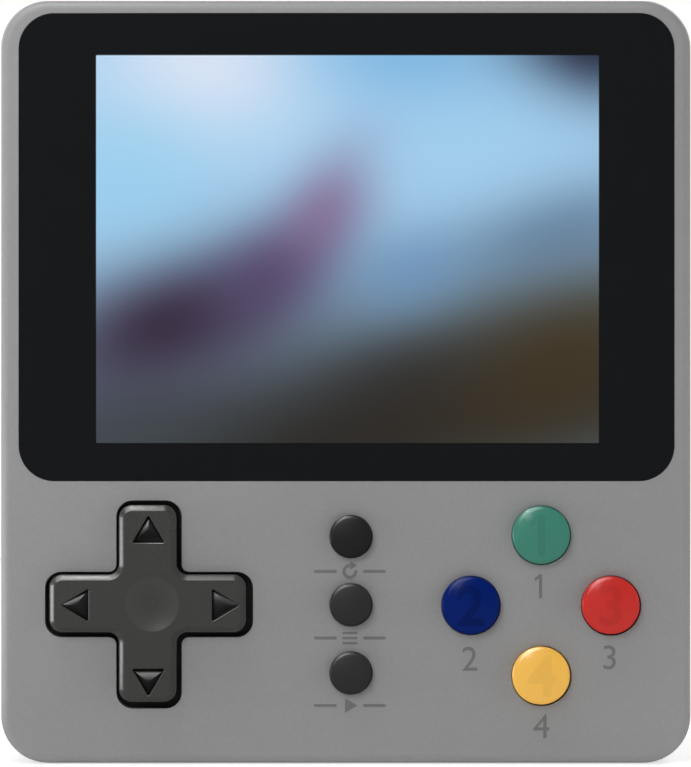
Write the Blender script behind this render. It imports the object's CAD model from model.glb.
"""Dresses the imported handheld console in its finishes, adds its lens, picture and print, and lights it."""

import math
from collections import namedtuple
from contextlib import contextmanager

import bmesh
import bpy
import numpy as np
from bpy.props import FloatProperty, FloatVectorProperty, PointerProperty
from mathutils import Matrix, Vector
from mathutils.geometry import tessellate_polygon


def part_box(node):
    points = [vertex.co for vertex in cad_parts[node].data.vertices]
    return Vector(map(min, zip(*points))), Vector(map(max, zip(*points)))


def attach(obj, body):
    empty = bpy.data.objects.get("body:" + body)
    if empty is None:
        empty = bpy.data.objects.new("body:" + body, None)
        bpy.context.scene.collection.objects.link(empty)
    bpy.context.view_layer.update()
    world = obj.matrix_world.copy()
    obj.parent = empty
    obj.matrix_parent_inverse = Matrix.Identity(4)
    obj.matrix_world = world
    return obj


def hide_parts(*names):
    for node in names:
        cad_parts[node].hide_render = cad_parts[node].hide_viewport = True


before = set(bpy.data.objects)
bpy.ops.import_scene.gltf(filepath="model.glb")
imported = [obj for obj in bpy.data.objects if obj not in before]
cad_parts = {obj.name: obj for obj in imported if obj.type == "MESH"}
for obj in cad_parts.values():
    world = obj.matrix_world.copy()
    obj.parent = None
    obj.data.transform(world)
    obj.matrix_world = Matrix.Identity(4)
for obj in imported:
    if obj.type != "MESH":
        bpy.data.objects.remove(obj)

bl_info = {
    "name": "Handheld console",
    "version": (1, 0, 0),
    "blender": (4, 5, 0),
    "location": "View3D > Sidebar > Console",
    "description": "Dresses a handheld game console and lights it",
    "category": "Object",
}

MM = 0.001
WELD = 1e-8
LEVEL_FACE = 0.999999
CORNER_STEPS = 12
CHAMFER_POWER = 2 / 1.15
CHAMFER_SLOPE = 0.9
LIP_EASE = 0.01 * MM
LIP_DEPTH = 0.6 * MM
WINDOW_EASE = 0.05 * MM
PANE_CLEAR = 0.01 * MM
POCKET_CLEAR = 0.01 * MM
FIGURE_WEIGHT = 0.025
INLAY_PITCH = 0.3 * MM
FLOOR_SIZE, FLOOR_Z, FLOOR_FADE = 1.6, -0.1 * MM, (0.25, 0.75)
# A turned button: its radius, the rise of its dome, the radii of its edge, its flange and its hole, the gap
# between it and the lip, and how far the lip is set off across and down
ButtonShape = namedtuple("ButtonShape", "radius crown edge flange hole clear shift")
LARGE = ButtonShape(*(length * MM for length in (3.175, 0.45, 0.8, 4.2, 3.45, 0.14, 0.085)))
SMALL = ButtonShape(*(length * MM for length in (2.31, 0.2, 0.5, 3.3, 2.55, 0.07, 0.04)))
FLANGE_DEPTH = 0.8 * MM
EDGE_SLOPE = math.radians(56)
# How far the cross and the dish are set off from the middle of the direction pad, across and up
CROSS_SHIFT = np.array((-0.1, 0.17)) * MM
DISH_SHIFT = np.array((0.36, 0.17)) * MM
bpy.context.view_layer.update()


def screen_colour(red, green, blue):
    """Linear colour of an 8-bit screen colour: each channel over 255, plus 0.055, over 1.055, to the power 2.4."""
    share = np.array((red, green, blue)) / 255
    return tuple(float(v) for v in np.where(share > 0.04045, ((share + 0.055) / 1.055) ** 2.4, share / 12.92))


def rgb(name, description, *shade):
    """Property for a colour whose default is an 8-bit screen colour."""
    given = dict(name=name, description=description, default=screen_colour(*shade))
    return FloatVectorProperty(**given, subtype="COLOR", size=3, min=0, max=1)


def mm(name, description, default, low=0):
    """Property for a length, given in mm and kept in metres."""
    given = dict(name=name, description=description, default=default * MM)
    return FloatProperty(**given, min=low, unit="LENGTH", precision=5)


def power(name, description, default):
    """Property for a level of light."""
    return FloatProperty(name=name, description=description, default=default, min=0)


# Sizes and colours that a user would change


class ConsoleSizes(bpy.types.PropertyGroup):
    """Sizes of the pieces that are made here; the places and depths that the frame has are read from it."""

    window_width: mm("Window width", "Clear width of the window", 55.36)
    window_height: mm("Window height", "Clear height of the window", 42.7)
    window_corner: mm("Window corner", "Corner radius of the window", 0.12)
    window_x: mm("Window across", "Middle of the window across", 0.19)
    window_z: mm("Window up", "Middle of the window up", 56.62)
    lens_width: mm("Lens width", "Width of the lens", 72.14)
    lens_height: mm("Lens height", "Height of the lens", 51.49)
    lens_corner: mm("Lens corner", "Corner radius of the lens", 3.9)
    lens_x: mm("Lens across", "Middle of the lens across", 0.09)
    lens_z: mm("Lens up", "Middle of the lens up", 56.835)
    lens_edge: mm("Lens edge", "Radius of the lens's front edge", 0.03)
    lens_gap: mm("Lens gap", "Hairline between the lens and its lip", 0.03)
    recess_gap: mm("Recess gap", "From the frame's lens to the wall of its recess", 0.12)
    pane_depth: mm("Pane depth", "Thickness of the clear pane in the window", 0.1)
    dpad_span: mm("Pad span", "From tip to tip of the direction pad", 21.55)
    dpad_arm: mm("Pad arm", "Width of an arm of the direction pad", 6.3)
    tip_radius: mm("Pad tip radius", "Radius of the pad's outer corners", 1.4)
    inner_radius: mm("Pad inner radius", "Radius of the pad's inner corners", 1.2)
    dpad_chamfer: mm("Pad chamfer", "Width of the chamfer round the pad's top", 0.6)
    dish_radius: mm("Dish radius", "Radius of the dish in the middle of the pad", 3.08)
    dish_depth: mm("Dish depth", "Depth of that dish", 0.3)
    flange_radius: mm("Flange radius", "Radius of the pad's flange behind the case face", 12.6)
    flange_front: mm("Flange front", "Depth where the flange starts", -4.4, low=-1.0)
    flange_rear: mm("Flange rear", "Depth where the flange ends", -3.65, low=-1.0)
    arrow_width: mm("Arrow width", "Width of each arrow pocket", 3.6)
    arrow_length: mm("Arrow length", "Length of each arrow pocket", 3.02)
    arrow_rounding: mm("Arrow rounding", "Radius of the arrow's corners", 0.12)
    pocket_bevel: mm("Pocket bevel", "Width of the bevel round each pocket", 0.09)
    pocket_depth: mm("Pocket depth", "Depth of each pocket", 0.8)
    arrow_crest: mm("Arrow crest", "Drop from the pad's top to the crest of the arrow's floor", 0.1)
    arrow_edge: mm("Arrow edge", "Drop from the pad's top to the edge of the arrow's floor", 0.66)
    print_height: mm("Print height", "Height of the figures printed beside the buttons", 2.65)
    mark_height: mm("Mark height", "Height of the marks printed below the small keys", 1.8)
    figure_height: mm("Figure height", "Height of the figures moulded into the button tops", 4.55)
    print_stand: mm("Print stand", "How far print stands proud of its surface", 0.012)
    print_depth: mm("Print depth", "Thickness of a printed or moulded mark", 0.03)


class ConsoleColours(bpy.types.PropertyGroup):
    """Colours of the finishes."""

    case: rgb("Case", "Case halves and battery door", 136, 136, 136)
    lens: rgb("Lens black", "Printed border of the lens", 19, 20, 22)
    dpad: rgb("Direction pad", "Direction pad", 60, 60, 58)
    menu: rgb("Top small key", "Top small key", 29, 29, 29)
    menu_worn: rgb("Other small keys", "Two lower small keys, a little paler", 42, 42, 42)
    green: rgb("Green", "Top large button", 59, 124, 107)
    blue: rgb("Blue", "Left large button", 3, 28, 98)
    red: rgb("Red", "Right large button", 190, 44, 39)
    yellow: rgb("Yellow", "Bottom large button", 239, 184, 80)
    ink: rgb("Print", "Ink of the printed marks", 104, 104, 104)


class ConsoleStudio(bpy.types.PropertyGroup):
    """Levels of the light, and the camera's place."""

    ambient: power("Ambient", "Light from all round", 0.12)
    key: power("Key", "Main light at the upper left", 0.45)
    fill: power("Fill", "Light at the right", 0.42)
    glint: power("Glints", "Small lights at the left and above", 0.3)
    rear: power("Rear", "Lights behind the console", 0.5)
    strip: power("Strips", "Near strips above and at the left", 0.32)
    distance: mm("Distance", "From the front of the case to the camera", 468.9)
    lens: FloatProperty(name="Focal length", description="Of the camera", default=200, unit="CAMERA")


# Nodes: how a tree is filled


def feed(tree, node, inputs):
    """Gives a node's inputs their values, or links them to other nodes' outputs."""
    for key, value in inputs.items():
        if isinstance(value, bpy.types.NodeSocket):
            tree.links.new(value, node.inputs[key])
        else:
            node.inputs[key].default_value = value
    return node


def put(tree, kind, inputs=None, **settings):
    """Adds a shader node of one kind with its settings and inputs."""
    node = tree.nodes.new("ShaderNode" + kind)
    for key, value in settings.items():
        setattr(node, key, value)
    return feed(tree, node, inputs or {})


def calc(tree, operation, *terms):
    """Result of one arithmetic step."""
    return put(tree, "Math", dict(enumerate(terms)), operation=operation).outputs[0]


def vector_calc(tree, operation, *terms):
    """Result of one step with vectors."""
    node = put(tree, "VectorMath", operation=operation)
    keys = (0, 3) if operation == "SCALE" else range(len(terms))
    feed(tree, node, dict(zip(keys, terms)))
    return node.outputs[1 if operation in ("LENGTH", "DOT_PRODUCT") else 0]


def mix_colour(tree, share, under, over):
    """Colour between under and over."""
    return put(tree, "Mix", {0: share, 6: under, 7: over}, data_type="RGBA").outputs[2]


def ranged(tree, value, low, high, new_low, new_high):
    """Value taken smoothly from one range to another, held at its ends."""
    inputs = {0: value, 1: low, 2: high, 3: new_low, 4: new_high}
    return put(tree, "MapRange", inputs, interpolation_type="SMOOTHSTEP").outputs[0]


def noise(tree, vector, scale, detail=2.0, rough=0.5):
    """Soft noise from 0 to 1."""
    inputs = {"Vector": vector, "Scale": scale, "Detail": detail, "Roughness": rough}
    return put(tree, "TexNoise", inputs).outputs[0]


def mix_value(tree, share, low, high):
    """Value between low and high."""
    return put(tree, "Mix", {0: share, 2: low, 3: high}).outputs[0]


def bumped(tree, height, strength, distance):
    """Normal bent by a height that runs from 0 to 1 over a distance in mm."""
    return put(tree, "Bump", {"Strength": strength, "Distance": distance * MM, "Height": height}).outputs[0]


def shader_group(name, labels, **defaults):
    """Empty node group that takes a place and inputs with these defaults, each a number, a vector or a colour:
    returns its tree, its output node, and the outlets of its place and inputs."""
    tree = bpy.data.node_groups.new(name, "ShaderNodeTree")
    vector, colour, number = ("NodeSocket" + kind for kind in ("Vector", "Color", "Float"))
    inputs = {"Vector": (0, 0, 0), **defaults}
    for label, default in inputs.items():
        kind = {3: vector, 4: colour}.get(np.size(default), number)
        tree.interface.new_socket(label, in_out="INPUT", socket_type=kind).default_value = default
    for label in labels.split():
        kind = {"Normal": vector, "Colour": colour}.get(label, number)
        tree.interface.new_socket(label, in_out="OUTPUT", socket_type=kind)
    given = tree.nodes.new("NodeGroupInput").outputs
    return tree, tree.nodes.new("NodeGroupOutput"), *(given[label] for label in inputs)


def grouped(tree, group, **inputs):
    """Places a shared group in a material, with its own values, and returns its outputs."""
    node = tree.nodes.new("ShaderNodeGroup")
    node.node_tree = bpy.data.node_groups[group]
    return feed(tree, node, inputs).outputs


# Effects that several finishes share


def make_moulded_grain():
    """Spark-eroded grain of moulded plastic: fine noise gives bump and mottle, broad noise the change of gloss."""
    tree, made, place, colour, grain, depth, mottle, roughness, spread = shader_group(
        "moulded_grain", "Colour Roughness Normal",
        Colour=(0.5, 0.5, 0.5, 1), Grain=0.25, Depth=0.2, Mottle=0.03, Roughness=0.5, Spread=0.08,
    )
    fine = noise(tree, place, calc(tree, "DIVIDE", 1 / MM, grain), 3.0, 0.6)
    centred = calc(tree, "SUBTRACT", fine, 0.5)
    broad = calc(tree, "SUBTRACT", noise(tree, place, 45.0, 3.0), 0.5)
    spots = calc(tree, "MULTIPLY_ADD", broad, 0.5, centred)
    shade = vector_calc(tree, "SCALE", colour, calc(tree, "MULTIPLY_ADD", spots, mottle, 1.0))
    gloss = calc(tree, "MULTIPLY_ADD", centred, 0.1, calc(tree, "MULTIPLY_ADD", broad, spread, roughness))
    feed(tree, made, dict(Colour=shade, Roughness=gloss, Normal=bumped(tree, fine, depth, 0.04)))


def make_handling():
    """Smears and hairline scratches on gloss: broad noise for smears, long thin noise cut off high for lines."""
    settings = dict(Roughness=0.05, Smear=0.05, Scratch=0.1)
    tree, made, place, roughness, smear, scratch = shader_group("handling", "Roughness", **settings)
    smears = ranged(tree, noise(tree, place, 90.0, 4.0, 0.65), 0.45, 0.75, 0.0, 1.0)
    stretch = {"Vector": place, "Rotation": (0, 0.6, 0), "Scale": (9000, 9000, 140)}
    lines = noise(tree, put(tree, "Mapping", stretch).outputs[0], 1.0, 1.0)
    marks = calc(tree, "MULTIPLY", ranged(tree, lines, 0.74, 0.8, 0.0, 1.0), scratch)
    feed(tree, made, {"Roughness": calc(tree, "ADD", calc(tree, "MULTIPLY_ADD", smears, smear, roughness), marks)})


def make_brushed_metal():
    """Drawn or plated metal: noise stretched along one way gives streaks of roughness and a shallow bump."""
    settings = dict(Stretch=(200, 9000, 9000), Roughness=0.3, Streak=0.2)
    tree, made, place, stretch, roughness, streak = shader_group(
        "brushed_metal", "Roughness Normal Streaks", **settings
    )
    streaks = noise(tree, vector_calc(tree, "MULTIPLY", place, stretch), 1.0)
    spread = calc(tree, "MULTIPLY_ADD", calc(tree, "SUBTRACT", streaks, 0.5), streak, roughness)
    feed(tree, made, dict(Roughness=spread, Normal=bumped(tree, streaks, 0.25, 0.01), Streaks=streaks))


def make_cloth_weave():
    """Plain weave: the height is the product of two crossed sine waves, with dark holes between threads."""
    settings = dict(Pitch=0.3, Colour=(0.1, 0.1, 0.1, 1))
    tree, made, place, pitch, colour = shader_group("cloth_weave", "Colour Normal", **settings)
    parts = put(tree, "SeparateXYZ", {0: place}).outputs
    turns = calc(tree, "DIVIDE", 2 * math.pi / MM, pitch)
    waves = [calc(tree, "SINE", calc(tree, "MULTIPLY", parts[i], turns)) for i in (0, 2)]
    height = calc(tree, "MULTIPLY_ADD", calc(tree, "MULTIPLY", *waves), 0.5, 0.5)
    shade = vector_calc(tree, "SCALE", colour, calc(tree, "MULTIPLY_ADD", height, 0.9, 0.35))
    feed(tree, made, dict(Colour=shade, Normal=bumped(tree, height, 0.8, 0.05)))


def make_soft_patch():
    """Out-of-focus patch: its share is e to the power of minus the squared distance from its centre in reaches."""
    tree, made, place, centre, reach, turn, under, colour, amount = shader_group(
        "soft_patch", "Colour",
        Centre=(0, 0, 0), Reach=(1, 1, 1), Turn=(0, 0, 0), Under=(0, 0, 0, 1), Colour=(1, 1, 1, 1), Amount=1.0,
    )
    placed = {"Vector": place, "Location": centre, "Rotation": turn, "Scale": reach}
    far = vector_calc(tree, "LENGTH", put(tree, "Mapping", placed, vector_type="TEXTURE").outputs[0])
    share = calc(tree, "POWER", math.e, calc(tree, "MULTIPLY", calc(tree, "MULTIPLY", far, far), -1.0))
    feed(tree, made, {"Colour": mix_colour(tree, calc(tree, "MULTIPLY", share, amount), under, colour)})


def make_board_traces():
    """Copper runs and round vias under solder mask: a brick pattern's joints are runs, cell centres are vias."""
    settings = dict(Mask=(0.02, 0.2, 0.08, 1), Run=(0.1, 0.4, 0.15, 1))
    tree, made, place, mask, run = shader_group("board_traces", "Colour Normal", **settings)
    upright = {"Vector": place, "Rotation": (math.pi / 2, 0, 0), "Scale": (700, 700, 700)}
    flat = put(tree, "Mapping", upright).outputs[0]
    brick = {"Vector": flat, "Scale": 0.9, "Mortar Size": 0.035, "Brick Width": 2.6, "Row Height": 0.55}
    cells = put(tree, "TexVoronoi", {"Vector": flat, "Scale": 0.35}).outputs[0]
    vias = ranged(tree, cells, 0.16, 0.2, 1.0, 0.0)
    copper = calc(tree, "MAXIMUM", put(tree, "TexBrick", brick).outputs[1], vias)
    feed(tree, made, dict(Colour=mix_colour(tree, copper, mask, run), Normal=bumped(tree, copper, 0.4, 0.03)))


def take(tree, shader, made, others):
    """Gives a shader what a shared group makes of its colour, roughness and normal, and its other inputs."""
    labels = {"Base Color": "Colour", "Roughness": "Roughness", "Normal": "Normal"}
    feed(tree, shader, {key: made[label] for key, label in labels.items() if label in made} | others)


def finish(name, group, others, **given):
    """Material that takes what a shared group makes, and other inputs of its shader."""
    material, tree, shader, place = new_finish(name)
    take(tree, shader, grouped(tree, group, Vector=place, **given), others)
    return material


# Finishes


def opaque(colour):
    """Colour with a fourth channel of 1."""
    return (*tuple(colour)[:3], 1.0)


def new_finish(name):
    """Empty material: returns it, its tree, its Principled shader and the piece's own coordinates."""
    material = bpy.data.materials.new(name)
    material.use_nodes = True
    tree = material.node_tree
    shader = next(n for n in tree.nodes if n.type == "BSDF_PRINCIPLED")
    return material, tree, shader, put(tree, "TexCoord").outputs["Object"]


def rubbed_disc(tree, place, colour, centre, radius):
    """Colour that is paler over a disc that thumbs have rubbed, most of all near the disc's edge."""
    away = vector_calc(tree, "SUBTRACT", place, (centre[0], 0, centre[1]))
    flat = vector_calc(tree, "MULTIPLY", away, (1, 0, 1))
    share = calc(tree, "DIVIDE", vector_calc(tree, "LENGTH", flat), radius)
    inside = ranged(tree, share, 0.9, 1.0, 1.0, 0.0)
    paler = calc(tree, "MULTIPLY", inside, ranged(tree, share, 0.1, 0.9, 0.0, 0.2))
    return vector_calc(tree, "SCALE", tuple(colour), calc(tree, "ADD", paler, 1.0))


def moulded(
    name, colour, roughness, grain=0.25, depth=0.2, mottle=0.03, spread=0.08, coat=0.0, ior=1.46, rubbed=None
):
    """Moulded plastic or rubber with its own grain, and a rubbed disc where a centre and radius are given."""
    material, tree, shader, place = new_finish(name)
    shade = rubbed_disc(tree, place, colour, *rubbed) if rubbed else opaque(colour)
    given = dict(Colour=shade, Grain=grain, Depth=depth, Mottle=mottle, Roughness=roughness, Spread=spread)
    made = grouped(tree, "moulded_grain", Vector=place, **given)
    take(tree, shader, made, {"Coat Weight": coat, "Coat Roughness": 0.12, "IOR": ior})
    return material


def metal(name, colour, roughness, stretch=(200, 9000, 9000), streak=0.2):
    """Plated, drawn or sheet metal with streaks along one way."""
    material, tree, shader, place = new_finish(name)
    made = grouped(tree, "brushed_metal", Vector=place, Stretch=stretch, Roughness=roughness, Streak=streak)
    shade = vector_calc(tree, "SCALE", colour, calc(tree, "MULTIPLY_ADD", made["Streaks"], 0.16, 0.92))
    take(tree, shader, made, {"Base Color": shade, "Metallic": 1.0})
    return material


def woven(name, colour, pitch):
    """Fine woven cloth or open foam."""
    return finish(name, "cloth_weave", {"Roughness": 0.9}, Pitch=pitch, Colour=opaque(colour))


SCREEN_GAMMA = 2.2
SKY = (163, 207, 240)
# Soft patches of the picture, each painted over those before it:
# centre across and up from the middle of the window, reach across and up in mm, turn in degrees, shade, amount
PICTURE_PATCHES = [
    ((2, -20.5), (95, 14.5), -11, (50, 48, 46), 1.0),
    ((24, -12), (15, 9), -20, (68, 56, 38), 0.85),
    ((23, 2), (13, 5), -14, (88, 112, 140), 0.6),
    ((-25, -21), (13, 6), 0, (70, 78, 82), 0.65),
    ((6, -14), (10, 5), -12, (46, 42, 40), 0.45),
    ((-19.5, -8), (15, 7.4), -20, (57, 44, 62), 0.95),
    ((-8.5, -2.5), (8.5, 5), -38, (82, 66, 100), 0.8),
    ((-1.4, 5.6), (7.6, 4.4), -54, (120, 74, 112), 0.88),
    ((7, -2), (7, 5), -20, (104, 142, 186), 0.6),
    ((-15, 21), (13, 9), 0, (222, 230, 247), 0.95),
    ((-24, 8), (9, 8), 0, (150, 207, 238), 0.6),
    ((9, 11), (14, 8), -15, (162, 206, 238), 0.75),
    ((6.5, 22), (12, 6), 0, (122, 178, 222), 0.75),
    ((27, 23), (10, 6), 20, (42, 45, 62), 0.95),
]


def lit_picture(name, sizes):
    """Picture of the display: soft patches of colour, one over the next, lit from behind over the active area."""
    material, tree, shader, place = new_finish(name)
    centred = vector_calc(tree, "SUBTRACT", place, (sizes.window_x, 0, sizes.window_z))
    millimetres = vector_calc(tree, "MULTIPLY", centred, (1 / MM, 0, 1 / MM))
    shade = opaque(np.array(SKY) / 255)
    for (across, up), (wide, high), turn, levels, amount in PICTURE_PATCHES:
        where = dict(Centre=(across, 0, up), Reach=(wide, 1, high), Turn=(0, math.radians(turn), 0))
        patch = dict(Vector=millimetres, Under=shade, Colour=opaque(np.array(levels) / 255), Amount=amount)
        shade = grouped(tree, "soft_patch", **where, **patch)["Colour"]
    glow = put(tree, "Gamma", {"Color": shade, "Gamma": SCREEN_GAMMA}).outputs[0]
    feed(tree, shader, {"Base Color": opaque((0.002,) * 3), "Roughness": 0.4, "Specular IOR Level": 0.0})
    feed(tree, shader, {"Emission Color": glow, "Emission Strength": 1.0})
    return material


def board_finish(name):
    """Green solder mask over copper runs."""
    gloss = {"Roughness": 0.3, "Coat Weight": 0.3}
    return finish(name, "board_traces", gloss, Mask=(0.008, 0.09, 0.035, 1), Run=(0.03, 0.2, 0.07, 1))


def dress(material, *names):
    """Gives CAD nodes their finish."""
    for name in names:
        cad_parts[name].material_slots[0].material = material


# Meshes


def add_object(name, data):
    """New object in the scene."""
    added = bpy.data.objects.new(name, data)
    bpy.context.scene.collection.objects.link(added)
    return added


def keep_piece(mesh, body, material, sharp=40):
    """Object for a finished mesh, riding on its body and taking its finish from a slot of the record. Edges
    sharper than an angle in degrees stay sharp, and faces that look straight forward or back stay flat."""
    piece = add_object(mesh.name, mesh)
    mesh.materials.append(material)
    normals = np.zeros(len(mesh.polygons) * 3)
    mesh.polygons.foreach_get("normal", normals)
    mesh.set_sharp_from_angle(angle=math.radians(sharp))
    mesh.polygons.foreach_set("use_smooth", np.abs(normals[1::3]) < LEVEL_FACE)
    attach(piece, body)
    return piece


def grid_faces(rows, columns, close_rows=False):
    """Quads of a grid that is closed round its columns, each from a point to the next round and the next row."""
    row, column = np.meshgrid(np.arange(rows if close_rows else rows - 1), np.arange(columns), indexing="ij")
    ahead, beyond = (column + 1) % columns, (row + 1) % rows
    corners = (row * columns + column, row * columns + ahead, beyond * columns + ahead, beyond * columns + column)
    return np.stack(corners, -1).reshape(-1, 4).tolist()


def walls(rows, close_rows=False):
    """Grid through closed rows of points: returns the points and the faces."""
    return np.concatenate(rows), grid_faces(len(rows), len(rows[0]), close_rows)


def ways(angles):
    """Unit steps at angles: their cosines across and their sines up."""
    return np.stack((np.cos(angles), np.sin(angles)), -1)


def ring_outline(radius, steps=72):
    """Points round a circle."""
    return radius * ways(np.linspace(0, 2 * np.pi, steps, endpoint=False))


def arcs(corners, steps):
    """Points along arcs, one after another: each arc's centre plus its radius times the cosine and sine of even
    angles from its start to its end in degrees."""
    sweeps = ((centre, radius, np.radians(np.linspace(*ends, steps))) for centre, radius, *ends in corners)
    return np.concatenate([centre + radius * ways(angles) for centre, radius, angles in sweeps])


def rounded_outline(width, height, radius, centre, steps=14):
    """Points round a rounded rectangle, whose corners are quarter circles."""
    reach = np.array((width / 2 - radius, height / 2 - radius))
    signs = enumerate(((1, 1), (-1, 1), (-1, -1), (1, -1)))
    return arcs([(reach * sign + centre, radius, 90 * turn, 90 * turn + 90) for turn, sign in signs], steps)


def make_lip(name, outer, inner_at):
    """Lip of case plastic that closes most of a gap in the front face: its two outlines are joined front and back,
    and its inner edge is eased at the front."""
    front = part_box("front_shell")[0].y
    inner, rear = inner_at(0), front + LIP_DEPTH
    rows = ((outer, front), (inner_at(LIP_EASE), front), (inner, front + LIP_EASE), (inner, rear), (outer, rear))
    mesh = mesh_of(name, *walls([at_depth(*row) for row in rows], True))
    keep_piece(mesh, "case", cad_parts["front_shell"].material_slots[0].material, sharp=50)


@contextmanager
def reworked(mesh):
    """Opens a mesh for steps of bmesh, after which its normals are turned outwards."""
    work = bmesh.new()
    work.from_mesh(mesh)
    yield work
    bmesh.ops.recalc_face_normals(work, faces=work.faces)
    work.to_mesh(mesh)
    work.free()


def coordinates(mesh):
    """Places of a mesh's points, a row for each."""
    points = np.zeros(len(mesh.vertices) * 3)
    mesh.vertices.foreach_get("co", points)
    return points.reshape(-1, 3)


def at_depth(outline, depth):
    """Points of a flat outline, given across and up, set at one depth."""
    return np.stack((outline[:, 0], np.full(len(outline), depth), outline[:, 1]), -1)


def mesh_of(name, points, faces):
    """Mesh from points and faces, with its normals turned outwards."""
    mesh = bpy.data.meshes.new(name)
    mesh.from_pydata(np.asarray(points).tolist(), [], faces)
    with reworked(mesh) as work:
        bmesh.ops.remove_doubles(work, verts=work.verts, dist=WELD)
    return mesh


def pane_outline(sizes, part, grow=0.0):
    """Outline of the lens, or of the window in it, grown outwards."""
    keys = (f"{part}_{key}" for key in ("width", "height", "corner", "x", "z"))
    width, height, corner, across, up = (getattr(sizes, key) for key in keys)
    return rounded_outline(width + 2 * grow, height + 2 * grow, corner + grow, np.array((across, up)))


def lens_ring(sizes, low, high):
    """Ring of the lens round its window: outlines set in and forwards along a quarter circle, then the window."""
    rows = [at_depth(pane_outline(sizes, "lens"), high.y)]
    for angle in np.linspace(0, np.pi / 2, 6):
        outline = pane_outline(sizes, "lens", sizes.lens_edge * (math.cos(angle) - 1))
        rows.append(at_depth(outline, low.y + sizes.lens_edge * (1 - math.sin(angle))))
    for grow, depth in ((WINDOW_EASE, low.y), (0, low.y + WINDOW_EASE), (0, high.y)):
        rows.append(at_depth(pane_outline(sizes, "window", grow), depth))
    return mesh_of("lens_border", *walls(rows, True))


def slab(name, outline, *depths):
    """Closed slab between two depths, with a flat face at each."""
    points, faces = walls([at_depth(outline, depth) for depth in depths])
    count = len(outline)
    return mesh_of(name, points, faces + [list(range(count)), list(range(count, 2 * count))])


FIGURE_ONE = ((-0.04, 0.5), (-0.24, 0.34), (-0.24, 0.2), (-0.06, 0.33), (-0.06, -0.5), (0.07, -0.5), (0.07, 0.5))


def text_outline(body, height, centre, weight=0.0):
    """Flat figure, scaled to a height and centred: returns its points across and up, and its faces."""
    if body == "1":
        flag = np.array(FIGURE_ONE)
        flag[:, 0] += np.where(flag[:, 0] < 0, -weight, weight)
        return one_face(flag * height + centre)
    curve = bpy.data.curves.new("figure", "FONT")
    curve.body, curve.offset, curve.resolution_u = body, weight, 8
    figure = add_object("figure", curve)
    bpy.context.view_layer.update()
    mesh = bpy.data.meshes.new_from_object(figure.evaluated_get(bpy.context.evaluated_depsgraph_get()))
    flat, faces = coordinates(mesh)[:, :2], [list(face.vertices) for face in mesh.polygons]
    bpy.data.objects.remove(figure)
    bpy.data.curves.remove(curve)
    bpy.data.meshes.remove(mesh)
    low, high = flat.min(0), flat.max(0)
    return (flat - (low + high) / 2) * height / (high[1] - low[1]) + centre, faces


def draped(name, flat, faces, depth_at, stand, thickness, pitch=None):
    """Thin mark laid on a surface: its points take the depth that depth_at gives there, less the stand, and it
    gets its thickness inwards. A pitch first cuts the mark along a square grid, so that it can follow a dome."""
    mesh = mesh_of(name, at_depth(flat, 0), faces)
    if pitch:
        with reworked(mesh) as work:
            for way, low, high in zip(((1, 0, 0), (0, 0, 1)), flat.min(0), flat.max(0)):
                for cut in np.arange(low + pitch, high, pitch):
                    geometry, place = [*work.verts, *work.edges, *work.faces], Vector(way) * cut
                    bmesh.ops.bisect_plane(work, geom=geometry, dist=1e-9, plane_co=place, plane_no=way)
    points = coordinates(mesh)
    points[:, 1] = depth_at(points[:, 0], points[:, 2]) - stand
    mesh.vertices.foreach_set("co", points.ravel())
    with reworked(mesh) as work:
        for face in work.faces:
            if face.normal.y > 0:
                face.normal_flip()
        bmesh.ops.solidify(work, geom=work.faces[:], thickness=thickness)
    return mesh


def ball_of(radius, crown):
    """Radius of the ball that a dome is cut from: (radius squared plus crown squared) over twice the crown."""
    return (radius**2 + crown**2) / (2 * crown)


def turned_cap(shape, top, rear):
    """Rows of radius and depth that turn into a button: a dome, an edge rounded from it to a steep slope, the
    side, and the flange behind the face. The edge's circle touches the dome's ball from inside."""
    radius, crown, edge = shape.radius, shape.crown, shape.edge
    reach, ball = radius - edge * math.sin(EDGE_SLOPE), ball_of(radius, crown)
    drop = math.sqrt((ball - edge) ** 2 - reach**2)
    lean = math.atan2(reach, drop)
    rows = [(ball * math.sin(a), top + ball * (1 - math.cos(a))) for a in np.linspace(0, lean, 9)]
    middle = top + ball - drop
    leans = np.linspace(lean, EDGE_SLOPE, 10)[1:]
    rows += [(reach + edge * math.sin(a), middle - edge * math.cos(a)) for a in leans]
    front = rear - FLANGE_DEPTH
    return rows + [(radius, front), (shape.flange, front), (shape.flange, rear), (0, rear)]


def middle_of(low, high):
    """Middle of a box across and up."""
    return np.array(((low.x + high.x) / 2, (low.z + high.z) / 2))


def turned_button(name, shape, material, offset=(0, 0)):
    """Button turned from its rows, its top set off from the middle of its hole, with the lip of the hole round it,
    set off from the button towards the lower right."""
    low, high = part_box(name)
    middle = middle_of(low, high)
    centre = middle + offset
    circle = ring_outline(1.0)
    turned_rows = turned_cap(shape, low.y, high.y)
    rows = [at_depth(circle * reach + centre, depth) for reach, depth in turned_rows[:-3]]
    rows += [at_depth(circle * reach + middle, depth) for reach, depth in turned_rows[-3:]]
    cap = keep_piece(mesh_of(name + "_cap", *walls(rows)), name, material, sharp=25)
    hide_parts(name)
    clear, inner = shape.radius + shape.clear, centre + np.array((shape.shift, -shape.shift))
    make_lip(name + "_lip", circle * shape.hole + middle, lambda grow: circle * (clear + grow) + inner)
    return low, centre


def level(depth):
    """Flat surface at one depth."""
    return lambda across, up: np.full(len(across), depth)


def dome(centre, radius, crown, depth):
    """Button top: part of a ball with its highest point at the given depth."""
    ball = ball_of(radius, crown)
    return lambda across, up: depth + ball - np.sqrt(ball**2 - (across - centre[0]) ** 2 - (up - centre[1]) ** 2)


def one_face(flat):
    """Flat outline filled with one face."""
    return flat, [list(range(len(flat)))]


def bar(centre, width, height):
    """Bar with round ends."""
    return one_face(rounded_outline(width, height, height / 2, np.array(centre), steps=8))


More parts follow.
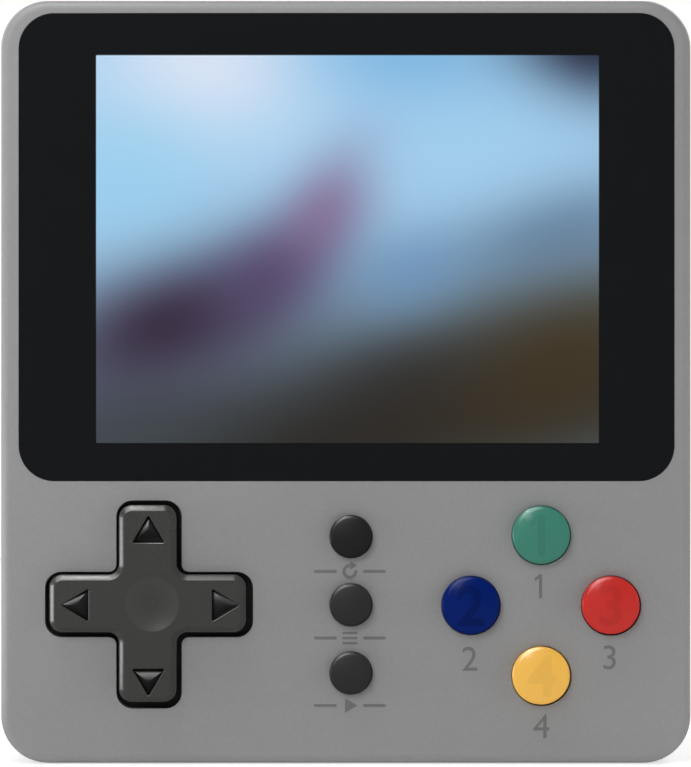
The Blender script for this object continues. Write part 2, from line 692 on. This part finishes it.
def arc_band(centre, radius, width, start, end, steps=40):
    """Band along an arc: its points lie at the radius less and plus half the width, at even angles."""
    lines = [arcs([(centre, radius + side * width / 2, start, end)], steps) for side in (-1, 1)]
    first = np.arange(steps - 1)
    return np.concatenate(lines), np.stack((first, first + 1, first + 1 + steps, first + steps), -1).tolist()


def joined(shapes):
    """Several flat shapes as one: their points one after another, and their faces counted on."""
    points, faces, count = [], [], 0
    for flat, own in shapes:
        points.append(flat)
        faces += [[i + count for i in face] for face in own]
        count += len(flat)
    return np.concatenate(points), faces


# Operators: one for each piece or group of like pieces


class CONSOLE_OT_shared_effects(bpy.types.Operator):
    """Build the node groups that the finishes share"""

    bl_idname = "console.shared_effects"
    bl_label = "Shared effects"

    def execute(self, context):
        surfaces = (make_moulded_grain, make_handling, make_brushed_metal, make_cloth_weave)
        for make in (*surfaces, make_soft_patch, make_board_traces):
            make()
        return {"FINISHED"}


class CONSOLE_OT_case(bpy.types.Operator):
    """Finish the two case halves and the battery door in fine-grained grey plastic"""

    bl_idname = "console.case"
    bl_label = "Case"

    def execute(self, context):
        shade = context.scene.console_colours.case
        grey = moulded("case_grey", shade, 0.52, grain=0.3, depth=0.25, mottle=0.2, spread=0.1)
        dress(grey, "front_shell", "rear_shell", "battery_door")
        return {"FINISHED"}


class CONSOLE_OT_display(bpy.types.Operator):
    """Make the lens's black border and its clear pane, and light the picture behind them"""

    bl_idname = "console.display"
    bl_label = "Display"

    def execute(self, context):
        sizes, colours = context.scene.console_sizes, context.scene.console_colours
        low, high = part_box("screen_lens")
        printed = {"Base Color": opaque(colours.lens), "IOR": 1.45}
        black = finish("lens_black", "handling", printed, Roughness=0.05, Smear=0.04, Scratch=0.08)
        border = keep_piece(lens_ring(sizes, low, high), "case", black)
        room, corner = 2 * sizes.recess_gap, sizes.lens_corner + sizes.recess_gap
        recess = rounded_outline(high.x - low.x + room, high.z - low.z + room, corner, middle_of(low, high))
        make_lip("lens_lip", recess, lambda grow: pane_outline(sizes, "lens", sizes.lens_gap + grow))
        acrylic = {"Base Color": (1, 1, 1, 1), "IOR": 1.2, "Transmission Weight": 1.0}
        clear = finish("window_clear", "handling", acrylic, Roughness=0.0, Smear=0.0, Scratch=0.02)
        outline = pane_outline(sizes, "window", -PANE_CLEAR)
        pane_mesh = slab("window_pane", outline, low.y + sizes.pane_depth, low.y)
        pane = keep_piece(pane_mesh, "case", clear)
        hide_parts("screen_lens")
        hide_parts("screen_lens")
        dress(lit_picture("screen_picture", sizes), "lcd_glass")
        black_film = moulded("black_film", screen_colour(22, 22, 22), 0.6, grain=0.1, depth=0.05)
        dress(black_film, "lens_adhesive", "lcd_connector")
        dress(woven("gasket_foam", screen_colour(30, 30, 30), 0.35), "screen_gasket")
        dress(metal("display_steel", (0.6, 0.6, 0.6), 0.35, streak=0.25), "lcd_backlight")
        amber = moulded("amber_film", screen_colour(196, 122, 32), 0.25, grain=1.2, depth=0.05, mottle=0.1)
        dress(amber, "lcd_flex")
        return {"FINISHED"}


def turned(points, quarters):
    """Points turned clockwise by a number of quarter turns."""
    return points @ np.linalg.matrix_power(np.array(((0, -1), (1, 0))), quarters % 4)


def cross_outline(sizes, inset):
    """Points round the cross, set in from its outline: each quarter has two outer corners and an inner one, arcs
    about fixed centres. The inset takes from the outer radii and adds to the inner one, which keeps the width."""
    tip, inner = sizes.tip_radius - inset, sizes.inner_radius + inset
    reach, half = sizes.dpad_span / 2 - sizes.tip_radius, sizes.dpad_arm / 2
    side, notch = half - sizes.tip_radius, half + sizes.inner_radius
    corners = (((reach, -side), tip, -90, 0), ((reach, side), tip, 0, 90), ((notch, notch), inner, -90, -180))
    quarter = arcs(corners, CORNER_STEPS)
    return np.concatenate([turned(quarter, -step) for step in range(4)]) + CROSS_SHIFT


def wedge_outline(grow, size, rounding, steps=6):
    """Points round a triangle that points up, grown outwards, each corner an arc about the point where the sides,
    set in by the rounding, meet."""
    points = np.array(((0.5, -0.5), (0, 0.5), (-0.5, -0.5))) * size
    ahead = np.roll(points, -1, 0) - points
    ahead /= np.linalg.norm(ahead, axis=1)[:, None]
    normals = np.stack((ahead[:, 1], -ahead[:, 0]), -1)
    before = np.roll(normals, 1, 0)
    inward = -(normals + before) / (1 + (normals * before).sum(1))[:, None]
    starts, ends = (np.degrees(np.arctan2(sides[:, 1], sides[:, 0])) for sides in (before, normals))
    ends = starts + (ends - starts) % 360
    return arcs(zip(points + inward * rounding, [rounding + grow] * 3, starts, ends), steps)


def filled(loops):
    """Triangles that fill the first flat loop and leave the others as holes, as numbers into all their points."""
    return [list(face) for face in tessellate_polygon([[(x, z, 0) for x, z in loop] for loop in loops])]


def dpad_cross_mesh(sizes, low, centre):
    """Cross with a chamfer, a dish and four pockets. The chamfer is a superellipse: its inset is the width times
    one less the cosine to a power, its drop a share of the width times one less the sine to that power."""
    top, wide = low.y, sizes.dpad_chamfer
    turns = np.linspace(0, np.pi / 2, 14)
    insets = wide * (1 - np.cos(turns) ** CHAMFER_POWER)
    drops = CHAMFER_SLOPE * wide * (1 - np.sin(turns) ** CHAMFER_POWER)
    under, rim = cross_outline(sizes, 0), ring_outline(sizes.flange_radius)
    rows = [at_depth(under, sizes.flange_front)]
    rows += [at_depth(cross_outline(sizes, inset), top + drop) for inset, drop in zip(insets, drops)]
    parts = [walls(rows)]
    dish = ring_outline(sizes.dish_radius)
    pockets = [arrow_outline(sizes, arm, sizes.pocket_bevel) for arm in range(4)]
    loops = [cross_outline(sizes, wide), *pockets, dish + DISH_SHIFT]
    parts.append((at_depth(np.concatenate(loops), top), filled(loops)))
    for arm in range(4):
        lines = ((sizes.pocket_bevel, 0), (0, sizes.pocket_bevel), (0, sizes.pocket_depth))
        rows = [at_depth(arrow_outline(sizes, arm, grow), top + drop) for grow, drop in lines]
        parts.append(walls([*rows, np.broadcast_to(rows[-1].mean(0), rows[-1].shape)]))
    shares = np.linspace(1, 0, 9)
    rows = [at_depth(dish * share + DISH_SHIFT, top + sizes.dish_depth * (1 - share**2)) for share in shares]
    parts += [walls(rows), (at_depth(np.concatenate((rim, under)), sizes.flange_front), filled([rim, under]))]
    lines = ((1, sizes.flange_front), (1, sizes.flange_rear), (0, sizes.flange_rear))
    parts.append(walls([at_depth(rim * share, depth) for share, depth in lines]))
    points, faces = joined(parts)
    return mesh_of("dpad_cross", points + (centre[0], 0, centre[1]), faces)


# From the middle of the pad to the tip of its arrow on the top, right, bottom and left arms
ARROW_REACHES = (9.86 * MM, 10.0 * MM, 10.0 * MM, 9.6 * MM)


def arrow_outline(sizes, arm, grow):
    """Outline of the arrow on one arm, counted clockwise from the top, grown outwards."""
    outline = wedge_outline(grow, (sizes.arrow_width, sizes.arrow_length), sizes.arrow_rounding)
    return turned(outline + (0, ARROW_REACHES[arm] - sizes.arrow_length / 2), arm)


def arrows_mesh(sizes, low, centre):
    """Swelling floor in each pocket: its drop below the top is the crest's, plus the rest times the square of the
    height from the arrow's middle over half the arrow's height."""
    parts = []
    for arm in range(4):
        outline = arrow_outline(sizes, arm, 0)
        middle, half = (outline.max(0) + outline.min(0)) / 2, np.ptp(outline, 0) / 2
        floor = at_depth(outline, low.y + sizes.pocket_depth - POCKET_CLEAR)
        rows = [np.broadcast_to(floor.mean(0), floor.shape), floor]
        for share in np.linspace(1, 0, 14):
            flat = middle + (outline - middle) * share
            bulge = ((flat[:, 1] - middle[1]) / half[1]) ** 2
            rows.append(at_depth(flat, low.y + sizes.arrow_crest + (sizes.arrow_edge - sizes.arrow_crest) * bulge))
        parts.append(walls(rows))
    points, faces = joined(parts)
    return mesh_of("dpad_arrows", points + (centre[0], 0, centre[1]), faces)


class CONSOLE_OT_direction_pad(bpy.types.Operator):
    """Make the direction pad's cross and its arrows, and finish what it turns on"""

    bl_idname = "console.direction_pad"
    bl_label = "Direction pad"

    def execute(self, context):
        sizes, colours = context.scene.console_sizes, context.scene.console_colours
        low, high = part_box("dpad")
        centre = middle_of(low, high)
        dish = (centre + DISH_SHIFT, sizes.dish_radius)
        satin = moulded("dpad_black", colours.dpad, 0.26, grain=0.2, depth=0.04, mottle=0.05, ior=1.5, rubbed=dish)
        cross = keep_piece(dpad_cross_mesh(sizes, low, centre), "dpad", satin, sharp=20)
        gloss = moulded("arrow_black", screen_colour(12, 12, 12), 0.34, grain=0.3, depth=0.03, ior=1.65)
        arrows = keep_piece(arrows_mesh(sizes, low, centre), "dpad", gloss, sharp=60)
        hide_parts("dpad")
        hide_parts("dpad")
        dress(moulded("pivot_white", (0.7, 0.68, 0.62), 0.4), "dpad_pivot_ball", "dpad_pivot_seat")
        return {"FINISHED"}


# A large button: its key in the colours, the figure on it, the share of the colour that the figure has, how far
# its top is set off from the middle of its hole across and up in mm, the gap and the shift of its lip in mm, and
# its gloss as the weight of its coat and its index of refraction
ActionButton = namedtuple("ActionButton", "key figure share offset gap coat ior")
ACTION_BUTTONS = {
    "green_button": ActionButton("green", "1", 0.88, (-0.05, -0.04), (0.1, 0.055), 0.5, 1.3),
    "blue_button": ActionButton("blue", "2", 0.72, (-0.06, -0.045), (0.1, 0.055), 0.14, 1.15),
    "red_button": ActionButton("red", "3", 0.88, (-0.12, -0.03), (0.14, 0.085), 0.4, 1.3),
    "yellow_button": ActionButton("yellow", "4", 0.93, (-0.06, -0.045), (0.14, 0.085), 1.0, 1.4),
}


class CONSOLE_OT_action_buttons(bpy.types.Operator):
    """Finish the four large buttons, and inlay a faint figure in each top"""

    bl_idname = "console.action_buttons"
    bl_label = "Large buttons"

    def execute(self, context):
        sizes, colours = context.scene.console_sizes, context.scene.console_colours
        for name, button in ACTION_BUTTONS.items():
            slot, shade = "button_" + button.key, getattr(colours, button.key)
            gloss = dict(grain=0.3, depth=0.04, mottle=0.03, coat=button.coat, ior=button.ior)
            plastic = moulded(slot, shade, 0.3, **gloss)
            shape = LARGE._replace(clear=button.gap[0] * MM, shift=button.gap[1] * MM)
            low, centre = turned_button(name, shape, plastic, np.array(button.offset) * MM)
            inlay = moulded("inlay_" + button.key, [channel * button.share for channel in shade], 0.3, **gloss)
            figure = text_outline(button.figure, sizes.figure_height, centre, FIGURE_WEIGHT)
            top = dome(centre, LARGE.radius, LARGE.crown, low.y)
            stand, thickness = sizes.print_stand / 2, sizes.print_depth
            mesh = draped(name + "_figure", *figure, top, stand, thickness, INLAY_PITCH)
            keep_piece(mesh, name, inlay)
        return {"FINISHED"}


class CONSOLE_OT_small_keys(bpy.types.Operator):
    """Make the three small round keys"""

    bl_idname = "console.small_keys"
    bl_label = "Small keys"

    def execute(self, context):
        colours = context.scene.console_colours
        satin = dict(roughness=0.34, grain=0.2, depth=0.05, mottle=0.05, ior=1.45)
        black = moulded("menu_black", colours.menu, **satin)
        worn = moulded("menu_worn", colours.menu_worn, **satin)
        for name, plastic in (("reset_button", black), ("select_button", worn), ("start_button", worn)):
            turned_button(name, SMALL, plastic)
        return {"FINISHED"}


# Places of the printed figures and marks, across and up in mm
PRINTED_FIGURES = {"1": (21.42, 19.52), "2": (13.64, 11.53), "3": (29.03, 11.68), "4": (21.5, 4.1)}
MARK_HEIGHTS = {"restart": 21.14, "choose": 13.81, "go": 6.38}
MARK_ACROSS = 0.45
# Corners of the pointed part of a mark, as shares of its height
MARK_POINTS = {
    "restart": ((0.02, 0.62), (0.02, 0.1), (0.44, 0.36)),
    "go": ((-0.3, -0.45), (0.48, 0), (-0.3, 0.45)),
}


def mark_shapes(kind, centre, height):
    """Shapes of one mark: a sign in the middle, and a thin bar at each side of it."""
    (across, up), line = centre, 0.19 * height
    shapes = [bar((across + side * 1.5 * height, up), 1.4 * height, line) for side in (-1, 1)]
    if kind == "choose":
        steps = np.array((-0.31, 0, 0.31)) * height
        return shapes + [bar((across, up + step), 0.95 * height, 0.8 * line) for step in steps]
    if kind == "restart":
        shapes.append(arc_band(np.array(centre), 0.36 * height, line, 92, 370))
    return [*shapes, one_face(np.array(MARK_POINTS[kind]) * height + centre)]


class CONSOLE_OT_print(bpy.types.Operator):
    """Print the figures beside the large buttons and the marks below the small keys"""

    bl_idname = "console.print"
    bl_label = "Print"

    def execute(self, context):
        sizes, colours = context.scene.console_sizes, context.scene.console_colours
        ink = moulded("print_ink", colours.ink, 0.5, grain=0.2, depth=0.1, mottle=0.06)
        face = level(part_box("front_shell")[0].y)
        wanted = {}
        for figure, place in PRINTED_FIGURES.items():
            wanted["figure_" + figure] = text_outline(figure, sizes.print_height, np.array(place) * MM)
        for kind, up in MARK_HEIGHTS.items():
            wanted["mark_" + kind] = joined(mark_shapes(kind, (MARK_ACROSS * MM, up * MM), sizes.mark_height))
        for name, (flat, faces) in wanted.items():
            mesh = draped("print_" + name, flat, faces, face, sizes.print_stand, sizes.print_depth)
            keep_piece(mesh, "case", ink)
        return {"FINISHED"}


def add_camera(studio, front):
    """Camera that looks straight at the front of the case."""
    camera = add_object("camera", bpy.data.cameras.new("camera"))
    camera.data.lens, camera.data.sensor_width = studio.lens, 36
    camera.data.clip_start, camera.data.clip_end = 0.01, 100
    camera.location = (-0.03 * MM, front - studio.distance, 41.82 * MM)
    camera.rotation_euler = (math.pi / 2, 0, 0)
    bpy.context.scene.camera = camera


def ray_kinds(tree):
    """Whether a ray comes from the camera, and whether it was mirrored or let through."""
    rays = put(tree, "LightPath").outputs
    return rays["Is Camera Ray"], calc(tree, "MAXIMUM", rays["Is Glossy Ray"], rays["Is Transmission Ray"])


def add_floor():
    """Pale floor that fades out around the console, and that reflections see dimmed in front of it."""
    mesh = bpy.data.meshes.new("floor")
    half = FLOOR_SIZE / 2
    corners = [(x * half, y * half, FLOOR_Z) for x, y in ((-1, -1), (1, -1), (1, 1), (-1, 1))]
    mesh.from_pydata(corners, [], [(0, 1, 2, 3)])
    floor = add_object("floor", mesh)
    material, tree, shader, place = new_finish("floor_pale")
    direct, mirrored = ray_kinds(tree)
    seen = calc(tree, "MAXIMUM", direct, mirrored)
    behind = ranged(tree, put(tree, "SeparateXYZ", {0: place}).outputs[1], 0.0, 0.1, 0.08, 1.0)
    shown = mix_value(tree, mirrored, 1.0, behind)
    pale = vector_calc(tree, "SCALE", (0.66, 0.66, 0.66), shown)
    glow = mix_value(tree, seen, 0.38, calc(tree, "MULTIPLY", shown, 0.58))
    far = ranged(tree, vector_calc(tree, "LENGTH", place), *FLOOR_FADE, 1.0, 0.0)
    matt = {"Roughness": 0.9, "Specular IOR Level": 0.0, "Emission Color": (1, 1, 1, 1)}
    shade = mix_colour(tree, seen, (0.88, 0.88, 0.88, 1), pale)
    feed(tree, shader, {"Base Color": shade, **matt, "Emission Strength": glow, "Alpha": far})
    mesh.materials.append(material)


def add_world(ambient):
    """White backdrop that lights evenly; reflections see it dim in front, with a soft box at the upper left."""
    world = bpy.data.worlds.new("studio")
    bpy.context.scene.world = world
    world.use_nodes = True
    tree = world.node_tree
    background = next(n for n in tree.nodes if n.type == "BACKGROUND")
    direct, mirrored = ray_kinds(tree)
    towards = put(tree, "TexCoord").outputs["Generated"]
    dim_front = ranged(tree, put(tree, "SeparateXYZ", {0: towards}).outputs[1], -0.1, 0.3, 0.08, 0.9)
    beside = vector_calc(tree, "DOT_PRODUCT", towards, Vector((-0.35, -0.38, 0.86)).normalized())
    shown = calc(tree, "ADD", dim_front, ranged(tree, beside, 0.85, 0.97, 0.0, 5.6))
    strength = mix_value(tree, direct, mix_value(tree, mirrored, ambient, shown), 1.0)
    feed(tree, background, {"Color": strength, "Strength": 1.0})


class CONSOLE_OT_fittings(bpy.types.Operator):
    """Finish the screws, the side controls and the sockets"""

    bl_idname = "console.fittings"
    bl_label = "Screws, controls and sockets"

    def execute(self, context):
        dress(metal("screw_steel", (0.18, 0.18, 0.185), 0.32), "case_screws", "board_screws", "volume_screw")
        steel = metal("socket_steel", (0.62, 0.62, 0.63), 0.28, (9000, 9000, 200))
        dress(steel, "charging_socket", "power_switch_body")
        black = moulded("fitting_black", screen_colour(28, 28, 29), 0.4, grain=0.2, depth=0.12)
        dress(black, "power_switch_knob", "volume_wheel", "volume_pot", "charging_tongue", "battery_socket")
        dress(moulded("jack_black", screen_colour(24, 24, 25), 0.3, grain=0.2, depth=0.05), "av_jack")
        return {"FINISHED"}


class CONSOLE_OT_loudspeaker(bpy.types.Operator):
    """Finish the loudspeaker behind its grille"""

    bl_idname = "console.loudspeaker"
    bl_label = "Loudspeaker"

    def execute(self, context):
        dress(woven("speaker_cloth", screen_colour(38, 38, 38), 0.3), "speaker_cloth")
        dress(woven("cone_paper", screen_colour(60, 58, 54), 0.5), "speaker_cone")
        dress(metal("basket_steel", (0.5, 0.5, 0.51), 0.35), "speaker_basket", "speaker_magnet")
        dress(moulded("wire_red", screen_colour(170, 30, 26), 0.35, depth=0.05), "speaker_wires")
        return {"FINISHED"}


class CONSOLE_OT_battery(bpy.types.Operator):
    """Finish the battery and its contacts"""

    bl_idname = "console.battery"
    bl_label = "Battery"

    def execute(self, context):
        wrap = screen_colour(38, 70, 118)
        wrap = moulded("battery_wrap", wrap, 0.3, grain=4.0, depth=0.5, mottle=0.15, coat=0.3)
        dress(wrap, "battery_pack")
        gold = metal("gold_contact", (0.83, 0.62, 0.24), 0.22)
        dress(gold, "battery_springs", "battery_terminals", "board_key_pads")
        return {"FINISHED"}


class CONSOLE_OT_electronics(bpy.types.Operator):
    """Finish the board, its chips and the rubber under the keys"""

    bl_idname = "console.electronics"
    bl_label = "Board and rubber"

    def execute(self, context):
        dress(board_finish("board_green"), "main_board")
        dress(moulded("chip_black", screen_colour(36, 36, 38), 0.5, grain=0.1), "processor_chip", "memory_chip")
        ceramic = moulded("component_grey", screen_colour(150, 138, 118), 0.45, mottle=0.3, grain=0.8)
        dress(ceramic, "board_components")
        rubber = moulded("silicone", screen_colour(200, 200, 196), 0.6, grain=0.4, mottle=0.06)
        dress(rubber, "dpad_membrane", "action_membrane", "menu_membrane")
        carbon = moulded("carbon", screen_colour(30, 30, 30), 0.7, grain=0.15)
        dress(carbon, "dpad_contacts", "action_contacts", "menu_contacts")
        return {"FINISHED"}


def add_lamp(name, place, target, size, level_there, unmet):
    """Area light whose power gives a set level where it points: the level times pi squared times the squared
    distance. The camera and rays of the unmet kind don't meet it."""
    light = bpy.data.lights.new(name, "AREA")
    light.shape = "RECTANGLE"
    light.size, light.size_y = size
    lamp = add_object(name, light)
    away = Vector(target) - Vector(place)
    light.energy = level_there * math.pi**2 * away.length_squared
    lamp.location = place
    lamp.rotation_euler = away.to_track_quat("-Z", "Y").to_euler()
    for kind in ("camera", *unmet):
        setattr(lamp, "visible_" + kind, False)


class CONSOLE_OT_stage(bpy.types.Operator):
    """Set the camera, the floor, the backdrop and the lights"""

    bl_idname = "console.stage"
    bl_label = "Stage"

    def execute(self, context):
        studio = context.scene.console_studio
        context.scene.view_settings.view_transform = "Standard"
        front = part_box("front_shell")[0].y
        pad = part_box("dpad")[0].y
        add_camera(studio, front)
        add_floor()
        add_world(studio.ambient)
        glint, strip, soft, mirrored = studio.glint, studio.strip, ("glossy",), ("diffuse",)
        middle, near, low_glint = (0, 0, 42 * MM), front - 0.017, (-0.03, pad, 0.0165)
        for lamp in (
            ("key_light", (-0.28, -0.62, 0.46), middle, (0.45, 0.45), studio.key, ()),
            ("rear_light", (0.40, 0.60, 0.50), middle, (0.35, 0.35), studio.rear, ()),
            ("rear_fill", (-0.5, 0.5, 0.25), middle, (0.4, 0.4), studio.rear / 2, ()),
            ("left_glint", (-0.09, pad - 0.003, 0.0165), low_glint, (0.016, 0.031), 1.5 * glint, mirrored),
            ("top_glint", (-0.04, pad - 0.018, 0.14), (-0.028, pad, 0.02), (0.008, 0.028), glint * 0.56, mirrored),
            ("left_soft", (-0.33, -0.042, 0.040), (-0.03, front, 0.020), (0.07, 0.07), glint, soft),
            ("top_soft", (-0.075, -0.070, 0.32), (-0.02, front, 0.025), (0.07, 0.07), glint * 0.8, soft),
            ("right_fill", (0.45, -0.12, 0.05), middle, (0.3, 0.3), studio.fill, soft),
            ("top_strip", (-0.01, near, 0.101), (-0.01, front, 0.083), (0.075, 0.01), strip, soft),
            ("left_strip", (-0.056, near, 0.055), (-0.037, front, 0.050), (0.01, 0.075), strip, soft),
        ):
            add_lamp(*lamp)
        return {"FINISHED"}


OPERATORS = (
    CONSOLE_OT_shared_effects,
    CONSOLE_OT_stage,
    CONSOLE_OT_case,
    CONSOLE_OT_display,
    CONSOLE_OT_direction_pad,
    CONSOLE_OT_action_buttons,
    CONSOLE_OT_small_keys,
    CONSOLE_OT_print,
    CONSOLE_OT_fittings,
    CONSOLE_OT_loudspeaker,
    CONSOLE_OT_battery,
    CONSOLE_OT_electronics,
)


class CONSOLE_PT_sidebar(bpy.types.Panel):
    """Sizes, colours, light and the steps that make the console"""

    bl_idname = "CONSOLE_PT_sidebar"
    bl_label = "Console"
    bl_space_type = "VIEW_3D"
    bl_region_type = "UI"
    bl_category = "Console"

    def draw(self, context):
        for group in (getattr(context.scene, key) for key in SETTINGS):
            box = self.layout.box()
            for key in type(group).__annotations__:
                box.prop(group, key)
        for step in OPERATORS:
            self.layout.operator(step.bl_idname)


SETTINGS = {"console_sizes": ConsoleSizes, "console_colours": ConsoleColours, "console_studio": ConsoleStudio}


CLASSES = (*SETTINGS.values(), *OPERATORS, CONSOLE_PT_sidebar)


def register():
    """Makes the console's settings, steps and panel known to Blender."""
    for cls in CLASSES:
        bpy.utils.register_class(cls)
    for key, group in SETTINGS.items():
        setattr(bpy.types.Scene, key, PointerProperty(type=group))


def unregister():
    """Takes them away again."""
    for key in SETTINGS:
        delattr(bpy.types.Scene, key)
    for cls in reversed(CLASSES):
        bpy.utils.unregister_class(cls)


def main():
    """Runs every step in order."""
    register()
    for step in OPERATORS:
        group, action = step.bl_idname.split(".")
        getattr(getattr(bpy.ops, group), action)()


if __name__ == "__main__":
    main()
